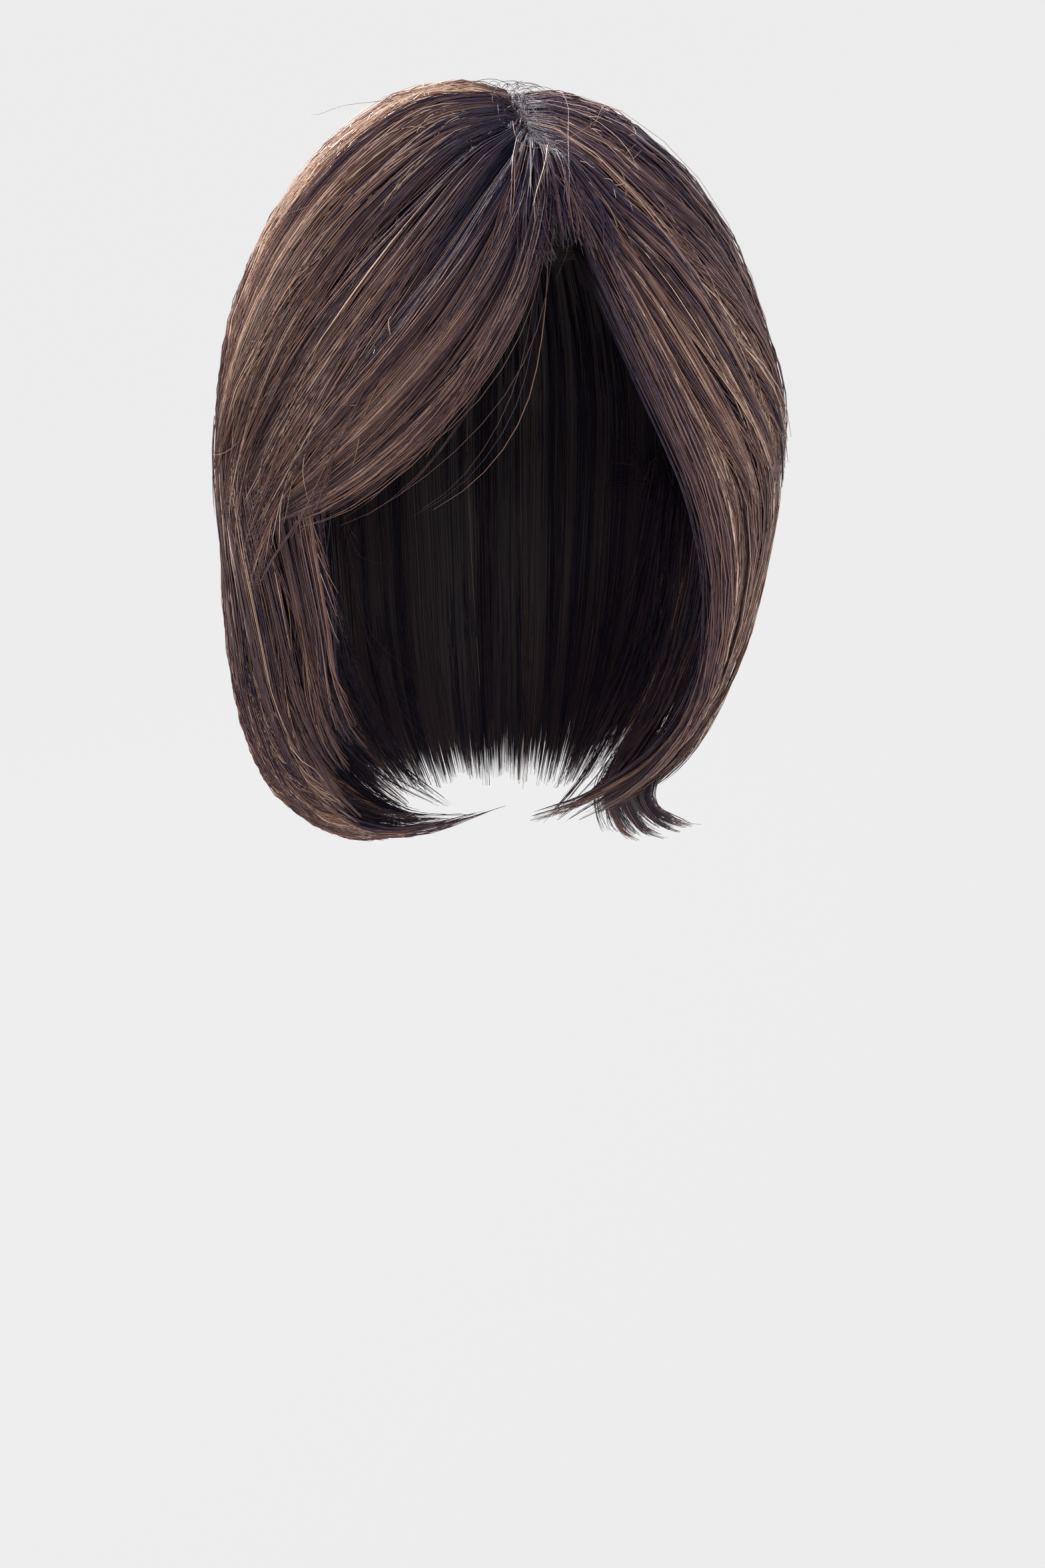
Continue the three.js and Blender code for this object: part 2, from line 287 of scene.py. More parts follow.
def onShell(shell, way):  # a point of an egg-shaped shell, seen from the middle of its widest level
    depth = np.where(way[..., 1] < 0, shell["front"], shell["back"])
    x = way[..., 0] * shell["halfWidth"]
    z = widestZ + way[..., 2] * shell["rise"]
    return np.stack([x, way[..., 1] * depth, z], -1)


def wayAt(azimuth, polar):
    a, p = np.radians(azimuth), np.radians(polar)
    return np.stack([np.sin(p) * np.sin(a), -np.sin(p) * np.cos(a), np.cos(p) + 0 * a], -1)


def wayAtHeight(azimuth, z):
    return wayAt(azimuth, np.degrees(np.arccos((z - widestZ) / outline["rise"])))


def wayOverPlan(x, y):
    x = x / outline["halfWidth"]
    y = y / np.where(y < 0, outline["front"], outline["back"])
    return np.stack([x, y, np.sqrt(1 - x * x - y * y)], -1)


def curveThrough(points, t):  # one smooth curve through (n, k, 3) points, at (n,) places
    spans = points.shape[1] - 1
    before = 2 * points[:, :1] - points[:, 1:2]
    after = 2 * points[:, -1:] - points[:, -2:-1]
    points = np.concatenate([before, points, after], 1)
    span = np.clip(np.floor(t * spans).astype(int), 0, spans - 1)
    s = (t * spans - span)[:, None]
    line = np.arange(len(points))
    a, b, c, d = (points[line, span + k] for k in range(4))
    ab, bc, cd = (np.linalg.norm(q - p, axis=1, keepdims=True) ** 0.5 for p, q in ((a, b), (b, c), (c, d)))
    leave = ((b - a) / ab - (c - a) / (ab + bc) + (c - b) / bc) * bc
    arrive = ((c - b) / bc - (d - b) / (bc + cd) + (d - c) / cd) * bc
    bend = (3 * (c - b) - 2 * leave - arrive) * s**2
    return b + leave * s + bend + (2 * (b - c) + leave + arrive) * s**3


def partingRoot(place, bank):  # bank -1 is left of the parting, +1 right
    at = curveThrough(np.repeat(partingPlan[None], len(place), 0), place)
    return wayOverPlan(at[:, 0] + bank * partGap / 2, at[:, 1])


def crownRoot(angle):
    x = crownWhorl["x"] + crownWhorl["radius"] * np.sin(np.radians(angle))
    return wayOverPlan(x, crownWhorl["y"] + crownWhorl["radius"] * np.cos(np.radians(angle)))


def onFall(azimuth, reach, z, thickness=0, angle=0):  # a share of the outline's reach, in by a thickness
    along = onShell(outline, wayAt(azimuth, 90 + 0 * azimuth))[:, :2]
    share = reach - thickness * np.cos(angle) / np.linalg.norm(along, axis=1)
    return np.column_stack([along * share[:, None], z + thickness * np.sin(angle) + 0 * azimuth])


def swoop(start, towards, end, t):  # a path over the sphere of directions
    first = unit(mix(start, towards, t))
    return unit(mix(first, unit(mix(towards, end, t)), t))


def domeStretch(fall, start, towards, end, reach):
    outer, inner = [], []
    for t in domeStops:
        way = swoop(start, towards, end, t)
        low = onShell(grown(head, baseWall + mix(rootGap, clearGap, ease(t, 0, 0.1))), way)
        high = onShell(outline, way)
        depth = np.linalg.norm(high - low, axis=1, keepdims=True)
        wall = mix(depth, np.minimum(fall["wall"], depth), ease(t, fall["clings"], 1))
        lift = mix(fall["rootLift"], mix(fall["crownLift"], fall["lift"], t), ease(t, 0, 0.2))
        outside = mix(low, high, lift)
        spread = np.column_stack([mix(1, reach, t), mix(1, reach, t), 0 * reach + 1])
        outer.append(outside * spread)
        inner.append(mix(outside, low, wall / depth) * spread)
    return outer, inner


def fallGuide(fall, row):  # over the dome, down from the widest place and round the curl
    root = fall["rootAt"](row["root"])
    widest = wayAt(row["azimuth"], 90 + 0 * row["azimuth"])
    halfway = unit(root + widest)
    level = np.linalg.norm(halfway[:, :2], axis=1, keepdims=True)
    dipped = np.column_stack([unit(root[:, :2]) * level, halfway[:, 2]])
    towards = unit(mix(halfway, dipped, row["dip"][:, None]))
    outer, inner = domeStretch(fall, root, towards, widest, row["reach"])
    for share in curlStops:
        angle = np.radians(share * row["curl"])
        azimuth = row["azimuth"] + row["swing"] * mix(curlSwing, 1, share)
        out = np.sign(np.cos(angle)) * np.abs(np.cos(angle)) ** row["taper"]
        reach = mix(row["hemReach"], row["turnReach"], out)
        z = mix(row["turnZ"], row["hemZ"], np.sin(angle))
        outer.append(onFall(azimuth, reach, z))
        inner.append(onFall(azimuth, reach, z, mix(fall["wall"], fall["tip"], share), angle))
    return np.stack(outer, 1), np.stack(inner, 1)


def fringeGuide(fall, row):  # one swoop over the dome
    bend = wayAtHeight(row["midAzimuth"], row["midZ"])
    end = wayAtHeight(row["endAzimuth"], row["endZ"])
    outer, inner = domeStretch(fall, partingRoot(row["root"], -1), bend, end, row["reach"])
    return np.stack(outer, 1), np.stack(inner, 1)


def flickGuide(fall, row):  # in to a waist, then out to the tip
    root, waist, tip = ((row[p + "Reach"], row[p + "Z"]) for p in ("root", "waist", "tip"))
    stops = [  # reach, height and the wall's slant in degrees
        (*root, 0),
        (mix(root[0], waist[0], 0.7), mix(root[1], waist[1], 0.55), 0),
        (*waist, -20),
        (mix(waist[0], tip[0], 0.4), mix(waist[1], tip[1], 0.7), -60),
        (*tip, -75),
    ]
    outer, inner = [], []
    for i, (reach, z, angle) in enumerate(stops):
        wall = mix(fall["wall"], fall["tip"], i / (len(stops) - 1))
        outer.append(onFall(row["azimuth"], reach, z))
        inner.append(onFall(row["azimuth"], reach, z, wall, np.radians(angle)))
    return np.stack(outer, 1), np.stack(inner, 1)


def rowAt(fall, u):  # the table's columns between its rows, and straight on beyond them
    rows = np.array(fall["rows"], float)
    last = len(rows) - 1
    within = np.clip(u, 0, 1)
    i = np.clip(np.floor(within * last).astype(int), 0, last - 1)
    t = (within * last - i)[:, None]
    a, b, c, d = (rows[np.clip(i + k, 0, last)] for k in (-1, 0, 1, 2))
    bend = (2 * a - 5 * b + 4 * c - d) * t**2 + (3 * b - 3 * c + d - a) * t**3
    beyond = ((u - within) * last)[:, None] * (c - b)
    return dict(zip(fall["columns"], (b + 0.5 * ((c - a) * t + bend) + beyond).T))


def wallAt(fall, across, along):  # the inside and outside of a fall's wall, for arrays of places
    even, t = across.ravel(), along.ravel()
    waves = 2 * math.pi * math.ceil(fall["locks"] / 4)
    outer, inner = fall["guide"](fall, rowAt(fall, even + unevenLocks / waves * np.sin(waves * even)))
    shape = (*across.shape, 3)
    return curveThrough(inner, t).reshape(shape), curveThrough(outer, t).reshape(shape)


def valleyAt(fall, across):  # 1 between two locks, 0 on a lock's back
    return 1 - np.sqrt(np.abs(np.sin(math.pi * across * fall["locks"])))


def lengthAt(fall, across):
    uneven = unevenEnds["share"] * np.sin(unevenEnds["pace"] * across * fall["locks"]) ** 2
    return 1 - fall["notch"] * (valleyAt(fall, across) + uneven)


# One row for each guide lock, the same as the solids have. The flick and bare strands have their own.
# openEdges widens the see-through edges of a fall's core, and closedTip lessens those at its tips.
fallColumns = (
    "root", "dip", "azimuth", "reach", "swing", "turnZ", "turnReach", "hemZ", "hemReach", "curl", "taper",
)
largeFall = dict(
    guide=fallGuide, columns=fallColumns, openEdges=(1, 0), closedTip=0, tip=0.0026, ridge=0.4,
    notch=0.07, lift=1, clings=0.3,
)
leftFall = dict(
    largeFall, node="side_left", rootAt=lambda place: partingRoot(place, -1), locks=7, wall=0.009,
    rootLift=0.7, crownLift=0.95,
    rows=[
        (0.56, 0, -70, 0.98, 8, -0.174, 0.98, -0.240, 0.46, 84, 1),
        (0.68, 0, -84, 1, 4, -0.188, 1.02, -0.250, 0.44, 116, 1),
        (0.84, 0, -104, 1, 4, -0.184, 1, -0.252, 0.44, 106, 1),
        (1, 0, -127.5, 1, 3, -0.168, 0.98, -0.254, 0.44, 84, 1.2),
    ],
)
rightFall = dict(
    largeFall, node="side_right", rootAt=lambda place: partingRoot(place, 1), locks=9, wall=0.008,
    rootLift=0.6, crownLift=0.8,
    rows=[
        (0, 1, 38, 0.97, 22, -0.140, 0.95, -0.238, 0.34, 74, 1.8),
        (0.34, 0.5, 68, 0.99, 6, -0.126, 0.985, -0.244, 0.36, 74, 2.1),
        (0.7, 0, 96, 1, 2, -0.125, 0.985, -0.244, 0.42, 68, 1.1),
        (1, 0, 127.5, 1, 0, -0.134, 0.98, -0.250, 0.36, 76, 1.8),
    ],
)
backFall = dict(
    largeFall, node="back_hair", rootAt=crownRoot, openEdges=(0, 0), closedTip=0.05, locks=9, wall=0.009,
    rootLift=0.65, crownLift=0.9,
    rows=[
        (-60, 0, -128.6, 1, 3, -0.166, 0.98, -0.254, 0.44, 82, 1.2),
        (-30, 0, -155, 1, 0, -0.160, 0.97, -0.266, 0.48, 74, 1.3),
        (0, 0, -180, 1, 0, -0.156, 0.96, -0.272, 0.48, 70, 1.4),
        (30, 0, -205, 1, 0, -0.145, 0.97, -0.266, 0.44, 72, 1.6),
        (60, 0, -231.4, 1, 0, -0.135, 0.98, -0.250, 0.36, 76, 1.8),
    ],
)
faceFall = dict(
    largeFall, node="face_lock_left", rootAt=lambda azimuth: wayAtHeight(azimuth, -0.014),
    openEdges=(1, 1), locks=2, wall=0.0036, tip=0.002, ridge=0.35, notch=0.1, rootLift=0.2,
    crownLift=0.34, lift=0.34, clings=0,
    rows=[
        (-39, 0, -46, 0.91, -2, -0.150, 0.9, -0.196, 0.72, 50, 1),
        (-48, 0, -63, 0.9, -4, -0.152, 0.9, -0.206, 0.7, 55, 1),
    ],
)
fringeFall = dict(
    node="fringe", openEdges=(1, 3), closedTip=0, guide=fringeGuide, locks=7, wall=0.0046, ridge=0.4,
    notch=0.08, rootLift=0.6, crownLift=0.95, lift=1, clings=0.02,
    columns=("root", "midAzimuth", "midZ", "endAzimuth", "endZ", "reach"),
    rows=[
        (0.53, -52, -0.027, -68, -0.092, 1.02),
        (0.34, -30, -0.034, -61, -0.102, 1.025),
        (0.16, -7, -0.063, -54, -0.109, 1.02),
        (0.02, 11, -0.087, -45, -0.110, 1.01),
    ],
)


def sweptIn(fall, hems):  # only strands: the same fall with other values from turnReach on
    kept = fallColumns.index("turnReach")
    return dict(fall, rows=[(*row[:kept], *hem) for row, hem in zip(fall["rows"], hems)])


rightHemFall = sweptIn(rightFall, [
    (0.95, -0.240, 0.14, 88, 1.6),
    (0.985, -0.247, 0.12, 86, 1.5),
    (1, -0.247, 0.36, 78, 0.85),
    (0.98, -0.250, 0.36, 76, 1.8),
])
leftHemFall = sweptIn(leftFall, [
    (0.98, -0.243, 0.30, 100, 1),
    (1.02, -0.250, 0.34, 122, 1),
    (1, -0.252, 0.34, 118, 1),
    (0.98, -0.254, 0.34, 92, 1.2),
])
rightUnderFall = dict(  # only strands: the hair behind the right side sweeps in low down
    rightFall,
    rows=[
        (0.6, 0, 88, 0.95, 4, -0.125, 0.95, -0.250, 0.20, 84, 1.2),
        (0.8, 0, 106, 0.95, 2, -0.125, 0.95, -0.257, 0.16, 84, 1.2),
        (1, 0, 127.5, 0.95, 0, -0.130, 0.94, -0.258, 0.16, 82, 1.4),
    ],
)
leftUnderFall = dict(  # only strands: the hair behind the left side does the same
    leftFall,
    rows=[
        (0.8, 0, -100, 0.95, 4, -0.160, 0.95, -0.246, 0.20, 86, 1.1),
        (1, 0, -127.5, 0.95, 3, -0.150, 0.94, -0.250, 0.18, 84, 1.2),
    ],
)
cheekFall = dict(  # only strands: from under the fringe's end they draw forward beside the face
    faceFall, locks=3, wall=0.008, crownLift=0.9, lift=1,
    rows=[
        (-36, 0, -42, 0.93, 4, -0.140, 0.90, -0.196, 0.66, 56, 1),
        (-48, 0, -56, 0.98, 10, -0.145, 0.95, -0.210, 0.66, 60, 1),
        (-60, 0, -72, 1.01, 18, -0.150, 1.01, -0.225, 0.66, 64, 1),
    ],
)
tailFall = dict(  # only strands: the fringe's tips go on over the side hair and turn down
    fringeFall,
    rows=[
        (0.42, -40, -0.042, -74, -0.122, 1.035),
        (0.26, -28, -0.056, -68, -0.140, 1.03),
        (0.12, -12, -0.076, -60, -0.138, 1.02),
    ],
)
wedgeFall = dict(  # only strands: they close the parting's wedge over the forehead
    fringeFall,
    rows=[
        (0.22, -3, -0.022, -9, -0.058, 1),
        (0.1, 6, -0.020, 5, -0.050, 1),
        (0, 13, -0.018, 15, -0.046, 1),
        (-0.03, 21, -0.018, 27, -0.058, 1),
    ],
)
flickFall = dict(
    node="flick_right", openEdges=(1, 1), closedTip=-0.4, guide=flickGuide, locks=3, wall=0.003,
    tip=0.002, ridge=0.5, notch=0.3,
    columns=("azimuth", "rootReach", "rootZ", "waistReach", "waistZ", "tipReach", "tipZ"),
    rows=[
        (86, 0.7, -0.205, 0.62, -0.236, 0.88, -0.248),
        (98, 0.7, -0.205, 0.54, -0.239, 0.72, -0.262),
        (109, 0.695, -0.205, 0.47, -0.241, 0.60, -0.268),
    ],
)


# Hair colours, from the shade between locks to the sunlit caramel strands.
hairColours = {
    "stops": [
        (0.0, (0.012, 0.009, 0.026)),
        (0.3, (0.033, 0.019, 0.036)),
        (0.55, (0.104, 0.054, 0.050)),
        (0.8, (0.265, 0.146, 0.104)),
        (1.0, (0.590, 0.440, 0.345)),
    ],
    # The core's darker colours below are painted shade under and between the strands.
    "underStops": [
        (0.0, (0.011, 0.009, 0.017)),
        (0.3, (0.030, 0.019, 0.023)),
        (0.6, (0.090, 0.050, 0.040)),
    ],
    # the colour at the roots, partly the hair's own dark roots and partly painted shade
    "root": (0.012, 0.009, 0.026, 1),
    "roughness": 0.28, "rootRoughness": 0.2, "gloss": 0.32,
    "patch": 38.0, "patchTone": 0.25, "patchRoughness": 0.12,
}
# The silvery grey of the short hairs at the parting's front is painted highlight, where the roots bend
# over.
rootGlintColours = {
    "dark": (0.05, 0.05, 0.08, 1), "bright": (0.34, 0.34, 0.42, 1), "patch": 300.0,
    "roughness": 0.3, "patchRoughness": 0.1,
}


def strandFinish():
    material, wire = startFinish("brownStrand")
    tone, rootDyeAndShade = wire.attribute("hairFlow")[:2]
    patch = wire.place().noise(hairColours["patch"], 2.0)
    shade = (tone + (patch - 0.5) * hairColours["patchTone"]).held()
    colour = wire.node("ShaderNodeValToRGB", {"stops": hairColours["stops"]}, {"Fac": shade})
    # darker at the root: the hair's own dark roots and painted shade
    colour = rootDyeAndShade.blend(colour, hairColours["root"])
    roughness = hairColours["roughness"] + patch * hairColours["patchRoughness"]
    roughness = roughness + rootDyeAndShade * hairColours["rootRoughness"]
    closeFinish(wire, {
        "Base Color": colour, "Roughness": roughness, "Specular IOR Level": hairColours["gloss"],
    })
    return material


# Painted highlight: silvery short hairs at the front of the parting.
def rootGlintFinish():  # the short bright hairs along the parting
    material, wire = startFinish("paintedGlintRootHair")
    patch = wire.place().noise(rootGlintColours["patch"], 1.0)
    colour = patch.blend(rootGlintColours["dark"], rootGlintColours["bright"])
    roughness = rootGlintColours["roughness"] + patch * rootGlintColours["patchRoughness"]
    closeFinish(wire, {"Base Color": colour, "Roughness": roughness})
    return material


# The core's finish is combed into streaks, and thins out to single strands at its tips and edges.
combing = {
    "streaks": (1500, 5, 0.0), "locks": (260, 3, 4.0),  # pace across, pace along, place in the noise
    "streakTone": 0.45, "lockTone": 0.35, "shade": 0.12, "bump": (0.7, 0.0006), "roughness": 0.45,
    "tipStart": 0.76, "tipFade": 3.4, "edge": 0.004, "sharp": 7,
}


def underFinish():
    material, wire = startFinish("shadedUnderHair")
    across, along, fromEdge = wire.attribute("combing")

    def drawnOut(wide, long, deep):
        lay = wire.node("ShaderNodeCombineXYZ", {}, {"X": across * wide, "Y": along * long, "Z": deep})
        return lay.noise(1.0, 2.0)

    fine, broad = drawnOut(*combing["streaks"]), drawnOut(*combing["locks"])
    # painted shade: the core is kept dark
    shade = (fine * combing["streakTone"] + broad * combing["lockTone"] - combing["shade"]).held()
    colour = wire.node("ShaderNodeValToRGB", {"stops": hairColours["underStops"]}, {"Fac": shade})
    left = fine - (along - combing["tipStart"]) * combing["tipFade"]
    kept = fine - (1 - fromEdge * (1 / combing["edge"]))
    closeFinish(wire, {
        "Base Color": colour,
        "Roughness": combing["roughness"], "Specular IOR Level": hairColours["gloss"],
        "Normal": (fine + broad).bump(*combing["bump"]),
        "Alpha": (left * combing["sharp"] + 0.5).held() * (kept * combing["sharp"] + 0.5).held(),
    })
    return material


strandHair = strandFinish()
rootGlintHair = rootGlintFinish()
underHair = underFinish()


def meshFromArrays(name, points, quads, triangles, corners, attributes, material):
    mesh = bpy.data.meshes.new(name)
    mesh.vertices.add(len(points))
    mesh.vertices.foreach_set("co", points.astype(np.float32).ravel())
    loops = np.concatenate([quads.ravel(), triangles.ravel()])
    starts = np.concatenate([np.arange(len(quads)) * 4, len(quads) * 4 + np.arange(len(triangles)) * 3])
    mesh.loops.add(len(loops))
    mesh.loops.foreach_set("vertex_index", loops.astype(np.int32))
    mesh.polygons.add(len(starts))
    mesh.polygons.foreach_set("loop_start", starts.astype(np.int32))
    mesh.update(calc_edges=True)
    layout = mesh.uv_layers.new(name="OFBake")
    layout.data.foreach_set("uv", corners.astype(np.float32).ravel())
    for key, values in attributes.items():
        made = mesh.attributes.new(key, "FLOAT_VECTOR", "POINT")
        made.data.foreach_set("vector", values.astype(np.float32).ravel())
    mesh.shade_smooth()
    mesh.validate()
    piece = bpy.data.objects.new(name, mesh)
    mesh.materials.append(material)
    scene.collection.objects.link(piece)
    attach(piece, "root")
    return piece


def tubes(name, strands, material):  # closed three-sided strands, joined in one mesh
    paths, radius = strands["paths"], strands["radius"]
    count, stops = paths.shape[:2]
    forward = unit(np.gradient(paths, axis=1))
    side = unit(np.cross(forward, strands["facing"]))
    up = np.cross(forward, side)
    turn = 2 * math.pi * np.arange(3) / 3
    ring = np.cos(turn)[:, None] * side[:, :, None] + np.sin(turn)[:, None] * up[:, :, None]
    points = paths[:, :, None] + radius[:, :, None, None] * ring
    strand, stop, corner = np.meshgrid(np.arange(count), np.arange(stops - 1), np.arange(3), indexing="ij")

    def at(j, k):
        return (strand * stops + j) * 3 + k % 3

    around = ((0, 0), (0, 1), (1, 1), (1, 0))
    quads = np.stack([at(stop + j, corner + k) for j, k in around], -1)
    first = np.arange(count) * stops * 3
    last = first + (stops - 1) * 3
    ends = np.concatenate([
        np.stack([first + 2, first + 1, first], -1), np.stack([last, last + 1, last + 2], -1),
    ])

    cells = math.ceil(math.sqrt(count))  # each strand has a cell of the map to itself
    margin, filled = 0.1, 0.8
    capDepth = 0.15

    def cornerAt(j, k, cell):
        x = (cell % cells + margin + filled * k / 3) / cells
        y = (cell // cells + margin + filled * j / (stops - 1)) / cells
        return np.stack([x, y], -1)

    sides = np.stack([cornerAt(stop + j, corner + k, strand) for j, k in around], -2)
    cell = np.arange(count)
    caps = [np.stack([cornerAt(j, k, cell) for j, k in trio], 1) for trio in (
        ((0, 0), (0, 1), (capDepth, 0)), ((stops - 1, 0), (stops - 1, 1), (stops - 1 - capDepth, 0)))]
    corners = np.concatenate([sides.reshape(-1, 2), np.concatenate(caps).reshape(-1, 2)])
    flow = np.repeat(strands["flow"][:, :, None], 3, 2)
    return meshFromArrays(
        name, points.reshape(-1, 3), quads.reshape(-1, 4), ends, corners,
        {"hairFlow": flow.reshape(-1, 3)}, material,
    )


def stopsAlong(fall, s):  # spaced over the dome and the curl, few on the straight stretch between
    dome = 0.5 * np.array(domeStops) + np.linspace(0, 0.5, len(domeStops))
    if fall["guide"] is fringeGuide:
        return np.interp(s, dome, np.linspace(0, 1, len(dome)))
    if fall["guide"] is flickGuide:
        return s
    knots = np.concatenate([0.5 * dome, curlPlaces])
    return np.interp(s, knots, np.linspace(0, 1, len(knots)))


def breadthOf(fall):  # how wide a fall is at the middle, in metres
    samples, middle = 40, 0.62
    inner, outer = wallAt(fall, np.linspace(0, 1, samples), np.full(samples, middle))
    return np.linalg.norm(np.diff(outer, axis=0), axis=1).sum()


# How the tufts and strands of all the hair differ from each other.
variety = {
    "insideDepth": (0.0, 0.2), "insideTone": 0.1, "breadths": 0.5, "gathers": (0.3, 1.3),
    "caramelShare": 0.75, "caramelTone": (0.12, 0.32), "glintTone": 0.3, "softTone": 0.1, "depthTone": 0.3,
    "aside": 0.5, "mostAside": 1.3, "looser": 3, "jitter": 0.25, "thickness": 0.2,
    "tipThick": 0.35, "rootThick": 0.8, "rootDark": 0.7,
}


def drawTufts(hair, width, rng):  # each has a place, a depth in the wall, a length, a lean and a tone
    tufts = hair["tufts"]
    low, high = hair["across"]
    home = (rng.permutation(tufts) + rng.random(tufts)) / tufts
    home = low + (high - low) * (1 - (1 - home) ** hair["crowd"])  # under 1, sparser towards the high side
    inside = rng.random(tufts) < hair["inside"]
    within = rng.uniform(*variety["insideDepth"], tufts)
    depth = np.where(inside, within, mix(*hair["depth"], rng.random(tufts) ** 0.7))
    size = hair["tuftBreadth"] / width * rng.lognormal(0, variety["breadths"], tufts)
    reach = hair["reach"] - hair["ragged"] * rng.random(tufts) ** 1.5
    drift = (hair["lean"] + rng.normal(0, hair["drift"], tufts)) / width
    phase = rng.uniform(0, 2 * math.pi, tufts)
    gathers = hair["gather"] * rng.uniform(*variety["gathers"], tufts)
    caramel = hair["caramel"] * np.ones(tufts)
    for place, spread in hair["caramelAt"]:
        streak = np.exp(-(((home - place) / spread) ** 2))
        caramel = np.maximum(caramel, variety["caramelShare"] * streak)
    tone = rng.normal(hair["tone"], hair["tuftTone"], tufts)
    tone = tone + np.where(rng.random(tufts) < caramel, rng.uniform(*variety["caramelTone"], tufts), 0)
    # painted shade: tufts that lie inside the wall are darker
    tone = np.where(inside, tone - variety["insideTone"], tone)
    return home, depth, size, reach, drift, phase, gathers, tone


def toneStrands(hair, rng, s, along, drawn):  # light and dark along each strand, and the shade at its root
    home, depth, tone = drawn
    count, low = len(home), hair["across"][0]
    shade = tone + rng.normal(0, hair["toneSpread"], count)
    # painted shade: strands deeper in the wall are darker, the outermost a little lighter
    shade = shade + variety["depthTone"] * (np.clip(depth, 0, 1) - 0.8)
    # painted light: near the fall's low edge strands are lighter and their roots less dark
    soft = 1 - ease(home, low, low + hair["softEdge"])
    shade = shade + variety["softTone"] * soft
    # painted highlights: a share of strands is made lighter to look like glints
    shade = shade + np.where(rng.random(count) < hair["glints"], variety["glintTone"], 0)
    # darker roots: partly the hair's own dark roots, partly painted shade
    rootDyeAndShade = variety["rootDark"] * (1 - ease(along, 0, hair["rootShade"])) * (1 - 0.8 * soft[:, None])
    behind = ease(home, 0.6, 0.9)[:, None] * (hair["backShade"] > 0)
    # painted light on the crown near the roots; a negative value paints shade there instead
    lit = hair["tipTone"] * s + hair["crownTone"] * (1 - ease(s, 0.2, 0.5)) * (1 - behind)
    lit = lit - hair["backShade"] * behind
    return np.stack([shade[:, None] + lit, rootDyeAndShade, 0 * rootDyeAndShade], -1)


def combStrands(fall, hair):  # each strand strays a little from its tuft
    rng = np.random.default_rng(hair["seed"])
    width = breadthOf(fall)
    tufts = drawTufts(hair, width, rng)
    home, depth, size, reach, drift, phase, gathers, tone = (np.repeat(t, hair["perTuft"]) for t in tufts)
    count, stops = len(home), hair["stops"]
    aside = np.clip(rng.normal(0, variety["aside"], count), -variety["mostAside"], variety["mostAside"])
    deeper = rng.normal(0, variety["aside"], count)
    own = rng.uniform(0, 2 * math.pi, count)
    loose = rng.random(count) < hair["loose"]
    stray = rng.normal(0, 1, count) * np.where(loose, variety["looser"], 1) * hair["stray"] / width
    short = rng.random(count) ** 2 * hair["uneven"]

    s = np.linspace(0, 1, stops)[None]
    jitter = rng.uniform(-variety["jitter"], variety["jitter"], count)
    s = s + (jitter[:, None] / (stops - 1)) * (s > 0) * (s < 1)
    gather = 1 - gathers[:, None] * ease(s, 0.15, 1)
    across = home[:, None] + (size * aside)[:, None] * gather
    wave = hair["wave"] / width * s
    across = across + wave * (np.sin(phase[:, None] + 5 * s) + 0.3 * np.sin(own[:, None] + 9 * s))
    across = across + (drift[:, None] + stray[:, None]) * s**1.5
    pull = hair["lockGather"] * ease(s, 0.1, 0.8)
    across = across + pull * np.sin(2 * math.pi * across * fall["locks"]) / (2 * math.pi * fall["locks"])
    tip = mix(1, lengthAt(fall, home), hair["notches"]) * reach * (1 - short)
    along = stopsAlong(fall, s) * tip[:, None]
    begin = stopsAlong(fall, hair["begin"] + hair["beginSpread"] * rng.random(count))
    along = begin[:, None] + along * (1 - begin / tip)[:, None]
    layer = depth[:, None] + hair["depthSpread"] * deeper[:, None] * gather
    layer = layer + hair["tipLift"] * ease(s, 0.5, 1) * (0.5 + np.abs(deeper))[:, None]
    layer = layer - hair["sunk"] * (1 - ease(s, 0, 0.35))
    layer = layer - hair["rootDip"] * (1 - ease(along, 0, rootRise))
    layer = layer + np.where(loose, hair["looseLift"], 0)[:, None] * np.sin(own[:, None] + 4 * s)
    valley = hair["valley"] * valleyAt(fall, across) * ease(along, 0, 0.3)
    wall = layer * (1 - valley * (layer > 0.4))
    inner, outer = wallAt(fall, across, along)
    paths = mix(inner, outer, wall[..., None])
    thick = hair["thick"] / 2 * rng.lognormal(0, variety["thickness"], count)[:, None]
    radius = thick * mix(1, variety["tipThick"], ease(s, 0.7, 1))
    radius = radius * mix(variety["rootThick"], 1, ease(s, 0, 0.1))
    flow = toneStrands(hair, rng, s, along, (home, depth, tone))
    return {"paths": paths, "facing": unit(outer - inner), "radius": radius, "flow": flow}


# The combed hair of each fall. tuftBreadth, thick, drift, lean, wave and stray are in metres, and across,
# depth, begin and reach are shares of the fall's width, wall and length.
topHair = dict(
    tufts=120, perTuft=12, stops=16, tuftBreadth=0.0016, thick=0.00034, across=(0, 1), crowd=1,
    depth=(0.72, 1.02), depthSpread=0.08, inside=0, begin=0, beginSpread=0, reach=1.0, ragged=0.05,
    uneven=0.08, notches=0.6, lean=0, drift=0.003, wave=0.0008, stray=0.0007, loose=0.07, looseLift=0.1,
    gather=0.45, lockGather=0.35, valley=0.45, tipLift=0.03, sunk=0, rootDip=0.2, tone=0.42, crownTone=0,
    tuftTone=0.08, toneSpread=0.13, tipTone=0.1, rootShade=0.16, softEdge=0.001, backShade=0, glints=0.05,
    caramel=0.14, caramelAt=[],
)
lowHair = dict(
    topHair, tufts=56, stops=9, depth=(0.3, 0.75), inside=0.5, begin=0.25, beginSpread=0.15, tone=0.36,
    lockGather=0.1, notches=0.2, tuftBreadth=0.0025,
)
